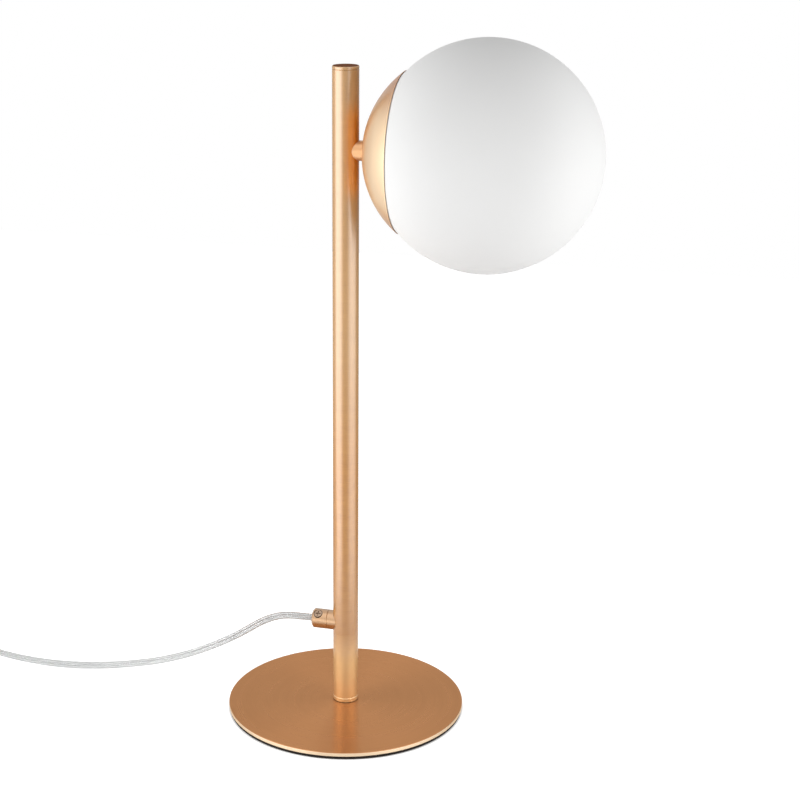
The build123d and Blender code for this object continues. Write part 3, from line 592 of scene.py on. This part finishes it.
def tinnedStrands(name, look):
    material, board = startMaterial(name)
    x, y, z = board.split(board.add("ShaderNodeUVMap", {"uv_map": "flexMap"}))
    twist = {"Vector": board.join(x + y * look["slant"], y, z), "Scale": look["lay"]}
    lay = board.add("ShaderNodeTexWave", {"bands_direction": "X"}, twist)
    endMaterial(board, {
        "Base Color": board.mix(lay, shade(*look["dark"]), shade(*look["light"])),
        "Metallic": look["metal"],
        "Roughness": board.remap(lay, 0.0, 1.0, *look["rough"]),
        "Normal": board.bump(lay, look["bump"], look["bumpDepth"]),
    })
    return material


softs = {key: grainedPlastic({**plasticSet, **look}) for key, look in plastics.items()}
softs["opal"] = opalGlass("opal_glass", opalSet)
softs["sheath"] = clearSheath("clear_sheath", sheathSet)
softs["strands"] = tinnedStrands("tinned_strands", strandSet)
print("glass and plastics made")


def dress(material, *names):
    for name in names:
        nodes[name].material_slots[0].material = material


dress(metals["stem"], "stem_tube", "stem_foot", "stem_cap")
dress(metals["base"], "base_plate")
dress(metals["head"], "arm", "cup")
dress(metals["grip"], "cord_boss", "cord_grip")
dress(metals["zinc"], "base_screw", "arm_washer", "arm_nut", "socket_bracket", "switch_pin")
dress(metals["alu"], "globe_holder", "globe_collar")
dress(metals["brass"], "lampholder_contacts", "switch_contacts")
dress(metals["nickel"], "bulb_pins", "plug_pins")
dress(softs["opal"], "globe")
dress(softs["frost"], "bulb_capsule")
dress(softs["ceramic"], "lampholder")
dress(softs["bulb"], "bulb_base")
dress(softs["white"], "switch_base", "switch_cover", "switch_rocker", "plug_body")
dress(softs["sleeve"], "plug_sleeves")
dress(softs["sheath"], "lead_wires")
print("nodes dressed")


def pieceFrom(build, name, *materials):  # a mesh under construction becomes a piece
    bmesh.ops.recalc_face_normals(build, faces=build.faces)
    mesh = bpy.data.meshes.new(name)
    build.to_mesh(mesh)
    build.free()
    for material in materials:
        mesh.materials.append(material)
    return linked(name, mesh)


# flex: clear twin cord, its route's points as in the part
# rolls are degrees at metres along the line, 90 stands the flat cord on edge

flexSet = {
    "width": 5.0 * mm,
    "lobeRadius": 1.27 * mm,
    "lobeOffset": 1.2 * mm,
    "strandRadius": 0.62 * mm,
    "lobeSides": 12,
    "strandSides": 8,
    "steps": 6,
    "mapLength": 5.0 * mm,
}
freeSet = {
    "route": [
        (-9.45, 0, 60),
        (-26, 0, 60),
        (-50, 0, 59),
        (-80, 0, 37),
        (-120, 0, 17.5),
        (-163, 0, 6.5),
        (-206, -1.5, 1.9),
        (-244, 0.5, 2.7),
        (-264, 0, 7),
        (-278.5, 0, 7),
    ],
    "rolls": [(0.0, 90), (0.16, 85), (0.25, 20)],
}
coilSet = {
    "centre": (-323.5, -68.0),
    "outer": 39.5,
    "pitch": 5.7,
    "turnsIn": 3.25,
    "turnsUp": 0.5,
    "turnsOut": 3.5,
    "dip": 0.5,
    "low": 3.7,
    "perTurn": 24,
    "leadIn": [
        (-335.5, 0, 7),
        (-343, 0, 7),
        (-354.7, -2.5, 7),
        (-361.5, -10, 7),
        (-363, -24, 6.6),
        (-363, -44, 4.4),
    ],
    "tail": [
        (-309.5, -109.4, 8.7),
        (-300, -109.5, 7.1),
        (-295.5, -109.5, 6.85),
        (-290.5, -109.5, 6.85),
    ],
    "rollsIn": [(0.0, 20), (0.01, 20), (0.07, 90)],
    "rollsOut": [(0.04, 90), (0.01, 10)],  # metres before the end
}


def eased(share):
    return share * share * (3 - 2 * share)


def coilPoints(look):  # in at a steady rate, up a layer, and out again
    turnsIn, turnsUp, pitch = look["turnsIn"], look["turnsUp"], look["pitch"]
    inner = look["outer"] - pitch * turnsIn
    turns = turnsIn + turnsUp + look["turnsOut"]
    points = []
    for step in range(1, int(turns * look["perTurn"]) + 1):
        turn = step / look["perTurn"]
        share = min(max((turn - turnsIn) / turnsUp, 0.0), 1.0)
        if turn <= turnsIn:
            radius = look["outer"] - pitch * turn
        elif share < 1.0:
            radius = inner - look["dip"] * pitch * (share - share * share)
        else:
            radius = inner + pitch * (turn - turnsIn - turnsUp)
        radius /= math.cos(math.pi / look["perTurn"])  # the spline passes inside its points
        angle = math.pi + 2 * math.pi * turn
        x = look["centre"][0] + radius * math.cos(angle)
        y = look["centre"][1] + radius * math.sin(angle)
        points.append((x, y, look["low"] + pitch * eased(share)))
    return look["leadIn"] + points + look["tail"]


def splineLine(name, points, steps):
    curve = bpy.data.curves.new(name, "CURVE")
    curve.dimensions = "3D"
    spline = curve.splines.new("NURBS")
    spline.points.add(len(points) - 1)
    for control, point in zip(spline.points, points):
        control.co = (*[value * mm for value in point], 1.0)
    spline.order_u = 3
    spline.use_endpoint_u = True
    spline.resolution_u = steps
    holder = bpy.data.objects.new(name, curve)
    mesh = bpy.data.meshes.new_from_object(holder)
    line = [vertex.co.copy() for vertex in mesh.vertices]
    bpy.data.objects.remove(holder)
    bpy.data.meshes.remove(mesh)
    bpy.data.curves.remove(curve)
    return line


def runsAlong(line):
    runs = [0.0]
    for before, point in zip(line, line[1:]):
        runs.append(runs[-1] + (point - before).length)
    return runs


def rollsAlong(line, stops):
    rolls = []
    for run in runsAlong(line):
        before = [stop for stop in stops if stop[0] <= run] or stops[:1]
        after = [stop for stop in stops if stop[0] > run] or stops[-1:]
        (fromRun, fromRoll), (toRun, toRoll) = before[-1], after[0]
        share = (run - fromRun) / (toRun - fromRun) if toRun > fromRun else 0.0
        rolls.append(math.radians(fromRoll + (toRoll - fromRoll) * eased(share)))
    return rolls


def twinSection(look):
    waist = math.acos(look["lobeOffset"] / look["lobeRadius"])
    sweep = 2 * (math.pi - waist)
    outline = []
    for side in (1, -1):
        for step in range(look["lobeSides"] - 1):
            angle = -sweep / 2 + sweep * step / (look["lobeSides"] - 1)
            wide = look["lobeOffset"] + look["lobeRadius"] * math.cos(angle)
            outline.append((side * wide, side * look["lobeRadius"] * math.sin(angle)))
    return outline


def strandSection(look, side):
    outline = []
    for step in range(look["strandSides"]):
        angle = 2 * math.pi / look["strandSides"] * step
        wide = side * look["lobeOffset"] + look["strandRadius"] * math.cos(angle)
        outline.append((wide, look["strandRadius"] * math.sin(angle)))
    return outline


def sweepSection(build, mapLayer, line, rolls, section, slot, mapLength):
    rings = []
    for i, point in enumerate(line):
        ahead = line[min(i + 1, len(line) - 1)] - line[max(i - 1, 0)]
        ahead.normalize()
        level = ahead.cross(Vector((0, 0, 1))).normalized()
        upward = level.cross(ahead)
        wide = level * math.cos(rolls[i]) + upward * math.sin(rolls[i])
        thin = ahead.cross(wide)
        rings.append([build.verts.new(point + wide * u + thin * v) for u, v in section])
    runs = runsAlong(line)
    count = len(section)
    for i in range(len(rings) - 1):
        for j in range(count):
            k = (j + 1) % count
            face = build.faces.new((rings[i][j], rings[i][k], rings[i + 1][k], rings[i + 1][j]))
            face.smooth = True
            face.material_index = slot
            corners = ((j, i), (j + 1, i), (j + 1, i + 1), (j, i + 1))
            for loop, (a, b) in zip(face.loops, corners):
                loop[mapLayer].uv = (a / count, runs[b] / mapLength)
    for ring in (rings[0][::-1], rings[-1]):
        build.faces.new(ring).material_index = slot


def makeFlex(name, line, rolls, look):
    build = bmesh.new()
    mapLayer = build.loops.layers.uv.new("flexMap")
    sweepSection(build, mapLayer, line, rolls, twinSection(look), 0, look["mapLength"])
    for side in (1, -1):
        sweepSection(build, mapLayer, line, rolls, strandSection(look, side), 1, look["mapLength"])
    return pieceFrom(build, name, softs["sheath"], softs["strands"])


# node trees that grow pieces

def startTree(name, source, sizes, result):
    tree = bpy.data.node_groups.new(name, "GeometryNodeTree")
    tree.interface.new_socket(source, in_out="INPUT", socket_type="NodeSocketGeometry")
    for size in sizes:
        tree.interface.new_socket(size, in_out="INPUT", socket_type="NodeSocketFloat")
    tree.interface.new_socket("finish", in_out="INPUT", socket_type="NodeSocketMaterial")
    tree.interface.new_socket(result, in_out="OUTPUT", socket_type="NodeSocketGeometry")
    board = Board(tree)
    given = board.add("NodeGroupInput")
    return tree, board, {key: given.beside(key) for key in (source, *sizes, "finish")}


def endTree(board, shape, finish):
    real = board.add("GeometryNodeRealizeInstances", {}, {0: shape})
    done = board.add("GeometryNodeSetMaterial", {}, {"Geometry": real, "Material": finish})
    board.add("NodeGroupOutput", {}, {0: done})


def moved(board, shape, sockets):
    return board.add("GeometryNodeTransform", {}, {"Geometry": shape, **sockets})


def pointPiece(name, points, way):  # points in mm that carry the way each one faces
    mesh = bpy.data.meshes.new(name)
    mesh.from_pydata([[value * mm for value in point] for point in points], [], [])
    ways = mesh.attributes.new("way", "FLOAT_VECTOR", "POINT")
    for item in ways.data:
        item.vector = way
    return linked(name, mesh)


def grown(piece, tree, inputs):  # runs a tree on a piece and keeps the result as its plain mesh
    modifier = piece.modifiers.new(tree.name, "NODES")
    modifier.node_group = tree
    for socket in tree.interface.items_tree:
        if socket.in_out == "INPUT" and socket.name in inputs:
            modifier[socket.identifier] = inputs[socket.name]
    bpy.context.view_layer.update()
    mesh = bpy.data.meshes.new_from_object(piece.evaluated_get(bpy.context.evaluated_depsgraph_get()))
    piece.modifiers.remove(modifier)
    piece.data = mesh
    return piece


# cross-slot screws, in mm

screwSets = [
    {
        "name": "grip_screw", "replaces": "cord_grip_screw", "slot": "rose_gold", "metal": "screw",
        "headWidth": 5.0, "headHeight": 1.5, "shankWidth": 3.5, "shankLength": 2.2,
        "slotSpan": 3.3, "slotWidth": 0.8, "way": clampWay, "tops": [clampTop],
    },
    {
        "name": "holder_screws", "replaces": "lampholder_screws", "slot": "steel", "metal": "zinc",
        "headWidth": 5.2, "headHeight": 1.8, "shankWidth": 2.9,
        "slotSpan": 3.4, "slotWidth": 0.8, "way": (1, 0, 0),
    },
    {
        "name": "case_screws", "replaces": "switch_screws", "slot": "steel", "metal": "zinc",
        "headWidth": 5.2, "headHeight": 1.6, "shankWidth": 2.3,
        "slotSpan": 3.4, "slotWidth": 0.8, "way": (0, 0, -1),
    },
]
screwForm = {"headSides": 36, "shankSides": 20, "slotDepth": 0.6}  # depth as a share of the head's height
screwSizes = ("headWidth", "headHeight", "shankWidth", "shankLength", "slotSpan", "slotWidth")


def pairTops(look):  # two screws in a row: the far corners of their box less half a head
    low, high = [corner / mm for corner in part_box(look["replaces"])]
    middle = (low + high) / 2
    span = high - low
    way = Vector(look["way"])
    length = max(abs(span[i] * way[i]) for i in range(3))
    side = max((i for i in range(3) if way[i] == 0), key=lambda i: span[i])
    tops = []
    for sign in (1, -1):
        top = middle + way * length / 2
        top[side] += sign * (span[side] - look["headWidth"]) / 2
        tops.append(tuple(top))
    return tops, length - look["headHeight"]


def screwTree(form):
    tree, board, size = startTree("crossScrews", "Points", screwSizes, "Screws")
    head = board.add("GeometryNodeMeshCylinder", {}, {
        "Vertices": form["headSides"], "Radius": size["headWidth"] / 2, "Depth": size["headHeight"],
    })
    head = moved(board, head, {"Translation": board.join(0, 0, size["headHeight"] / -2)})
    depth = size["headHeight"] * (2 * form["slotDepth"])  # half of each bar stands clear of the head
    for across, along in (("slotSpan", "slotWidth"), ("slotWidth", "slotSpan")):
        cut = board.join(size[across], size[along], depth)
        bar = board.add("GeometryNodeMeshCube", {}, {"Size": cut})
        head = board.add("GeometryNodeMeshBoolean", {"operation": "DIFFERENCE"}, {0: head, 1: bar})
    shank = board.add("GeometryNodeMeshCylinder", {}, {
        "Vertices": form["shankSides"], "Radius": size["shankWidth"] / 2, "Depth": size["shankLength"],
    })
    drop = (size["headHeight"] + size["shankLength"] / 2) * -1
    shank = moved(board, shank, {"Translation": board.join(0, 0, drop)})
    whole = board.add("GeometryNodeJoinGeometry", {}, {0: head})
    tree.links.new(shank.socket, whole.socket.node.inputs[0])
    way = board.add("GeometryNodeInputNamedAttribute", {"data_type": "FLOAT_VECTOR"}, {"Name": "way"})
    turn = board.add("FunctionNodeAlignRotationToVector", {"axis": "Z"}, {"Vector": way})
    placed = board.add("GeometryNodeInstanceOnPoints", {}, {
        "Points": size["Points"], "Instance": whole, "Rotation": turn,
    })
    endTree(board, placed, size["finish"])
    return tree


crossScrews = screwTree(screwForm)
for look in screwSets:
    if "tops" in look:
        tops, shankLength = look["tops"], look["shankLength"]
    else:
        tops, shankLength = pairTops(look)
    sized = {**look, "shankLength": shankLength}
    inputs = {key: sized[key] * mm for key in screwSizes}
    inputs["finish"] = metals[look["metal"]]
    piece = grown(pointPiece(look["name"], tops, look["way"]), crossScrews, inputs)
    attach(piece, "frame")
    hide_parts(look["replaces"])


# threads of the globe's screw mount, a ridge round the holder and one inside the collar, in mm

threadSets = [
    {
        "name": "holder_thread", "node": "globe_holder", "body": "frame",
        "radius": 21.56, "end": 1.2, "phase": 0.0,
    },
    {
        "name": "collar_thread", "node": "globe_collar", "body": "globe_glass",
        "radius": 22.04, "end": 4.2, "phase": 180.0,
    },
]
threadForm = {"pitch": 4.0, "turns": 2.4, "ridge": 0.22, "perTurn": 72, "ridgeSides": 8}
threadSizes = ("radius", "ridge", "turns", "rise", "start", "level", "phase")


def threadTree(form):
    tree, board, size = startTree("threadRidge", "Blank", threadSizes, "Ridge")
    helix = board.add("GeometryNodeCurveSpiral", {}, {
        "Resolution": form["perTurn"], "Rotations": size["turns"], "Start Radius": size["radius"],
        "End Radius": size["radius"], "Height": size["rise"], "Reverse": False,
    })
    edge = board.add("GeometryNodeCurvePrimitiveCircle", {}, {
        "Resolution": form["ridgeSides"], "Radius": size["ridge"],
    })
    ridge = board.add("GeometryNodeCurveToMesh", {}, {
        "Curve": helix, "Profile Curve": edge, "Fill Caps": True,
    })
    ridge = moved(board, ridge, {"Rotation": board.join(0, 0, size["phase"])})
    lying = moved(board, ridge, {
        "Rotation": armAxis, "Translation": board.join(size["start"], 0, size["level"]),
    })
    endTree(board, lying, size["finish"])
    return tree


threadRidge = threadTree(threadForm)
threadRise = threadForm["turns"] * threadForm["pitch"] * mm
for look in threadSets:
    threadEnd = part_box(look["node"])[1].x - look["end"] * mm
    piece = grown(pointPiece(look["name"], [(0, 0, 0)], (1, 0, 0)), threadRidge, {
        "radius": look["radius"] * mm, "ridge": threadForm["ridge"] * mm, "turns": threadForm["turns"],
        "rise": threadRise, "start": threadEnd - threadRise, "level": headZ,
        "phase": math.radians(look["phase"]), "finish": metals["alu"],
    })
    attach(piece, look["body"])
print("threads cut")


# soft rings: foam pad under the plate, gasket behind the globe

padSet = {
    "bulge": 0.6 * mm,
    "tuck": 0.1 * mm,
    "shoulder": 0.6,  # share of the bulge near top and bottom
    "levels": (0.12, 0.5, 0.86),  # of the height: lower shoulder, widest, upper shoulder
    "sides": 128,
}
gasketSet = {"bore": 19.9 * mm, "round": 0.35 * mm, "sides": 96}


def turnedPiece(name, profile, look, place, material):  # a profile that starts on the axis also ends there
    build = bmesh.new()
    sides = look["sides"]
    turn = 2 * math.pi / sides
    rings = []
    for radius, height in profile:
        count = sides if radius else 1
        spots = [(radius * math.cos(turn * i), radius * math.sin(turn * i), height) for i in range(count)]
        rings.append([build.verts.new(place(*spot)) for spot in spots])
    following = rings[1:] if profile[0][0] == 0 else rings[1:] + rings[:1]
    for first, second in zip(rings, following):
        for i in range(sides):
            picks = ((first, i), (first, i + 1), (second, i + 1), (second, i))
            corners = list(dict.fromkeys(ring[pick % len(ring)] for ring, pick in picks))
            if len(corners) > 2:
                build.faces.new(corners).smooth = True
    return pieceFrom(build, name, material)


def padProfile(radius, top, look):
    lower, widest, upper = [top * level for level in look["levels"]]
    shoulder = radius + look["bulge"] * look["shoulder"]
    return [
        (0, 0), (radius - look["tuck"], 0), (shoulder, lower), (radius + look["bulge"], widest),
        (shoulder, upper), (radius, top), (0, top),
    ]


def gasketProfile(low, high, look):
    near, far, outer, bore = low.x, high.x, (high.y - low.y) / 2, look["bore"]
    soft = look["round"]
    return [
        (bore + soft, near), (outer - soft, near), (outer, near + soft), (outer, far - soft),
        (outer - soft, far), (bore + soft, far), (bore, far - soft), (bore, near + soft),
    ]


def upright(x, y, z):
    return x, y, z


def onArm(x, y, z):
    return z, x, headZ + y


pad = turnedPiece("foam_pad", padProfile(padHigh.x, padHigh.z, padSet), padSet, upright, softs["foam"])
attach(pad, "frame")
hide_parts("base_pad")
gasketRing = gasketProfile(*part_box("globe_gasket"), gasketSet)
gasket = turnedPiece("seal_ring", gasketRing, gasketSet, onArm, softs["silicone"])
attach(gasket, "globe_seal")
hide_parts("globe_gasket")
print("pad and gasket made")


# strap round the coil, its end lapped over its start

strapSet = {
    "thick": 1.0 * mm,
    "corner": 2.1 * mm,
    "cornerSteps": 6,
    "lap": 13 * mm,
    "lapFall": 0.9,  # the end lies a little lower than a full thickness
    "climb": 3 * mm,
    "edge": 0.25 * mm,
}


def strapPath(low, high, look):
    half, corner, steps = look["thick"] / 2, look["corner"], look["cornerSteps"]
    left, right, floor, roof = low.x + half, high.x - half, low.z + half, high.z - half
    corners = [
        ((right - corner, roof - corner), 90), ((right - corner, floor + corner), 0),
        ((left + corner, floor + corner), -90), ((left + corner, roof - corner), -180),
    ]
    middle = (left + right) / 2
    path = [(middle, roof)]
    for (x, z), start in corners:
        for i in range(steps + 1):
            angle = math.radians(start - 90 / steps * i)
            path.append((x + corner * math.cos(angle), z + corner * math.sin(angle)))
    path.append((middle - look["climb"], roof))
    path.append((middle, roof + look["thick"]))
    path.append((middle + look["lap"] / 2, roof + look["thick"]))
    path.append((middle + look["lap"], roof + look["thick"] * look["lapFall"]))
    return path


def makeStrap(look):
    low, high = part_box("cord_tie")
    path = strapPath(low, high, look)
    middle, wide = (low.y + high.y) / 2, (high.y - low.y) / 2
    half, edge = look["thick"] / 2, look["edge"]
    section = [
        (-wide + edge, -half), (wide - edge, -half), (wide, -half + edge), (wide, half - edge),
        (wide - edge, half), (-wide + edge, half), (-wide, half - edge), (-wide, -half + edge),
    ]
    build = bmesh.new()
    rings = []
    for i, (x, z) in enumerate(path):
        ahead = Vector(path[min(i + 1, len(path) - 1)]) - Vector(path[max(i - 1, 0)])
        ahead.normalize()
        outX, outZ = -ahead.y, ahead.x
        rings.append([build.verts.new((x + outX * v, middle + u, z + outZ * v)) for u, v in section])
    for first, second in zip(rings, rings[1:]):
        for j in range(len(section)):
            k = (j + 1) % len(section)
            build.faces.new((first[j], first[k], second[k], second[j])).smooth = True
    build.faces.new(rings[0][::-1])
    build.faces.new(rings[-1])
    return pieceFrom(build, "coil_strap", softs["strap"])


strap = makeStrap(strapSet)
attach(strap, "frame")
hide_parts("cord_tie")
print("strap made")


freeLine = splineLine("free_route", freeSet["route"], flexSet["steps"])
freeFlex = makeFlex("flex_free", freeLine, rollsAlong(freeLine, freeSet["rolls"]), flexSet)
coilLine = splineLine("coil_route", coilPoints(coilSet), flexSet["steps"])
coilLength = runsAlong(coilLine)[-1]
coilStops = coilSet["rollsIn"] + [(coilLength - before, roll) for before, roll in coilSet["rollsOut"]]
coilFlex = makeFlex("flex_coil", coilLine, rollsAlong(coilLine, coilStops), flexSet)
for flex, node in ((freeFlex, "cord"), (coilFlex, "cord_coil")):
    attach(flex, "frame")
    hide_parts(node)
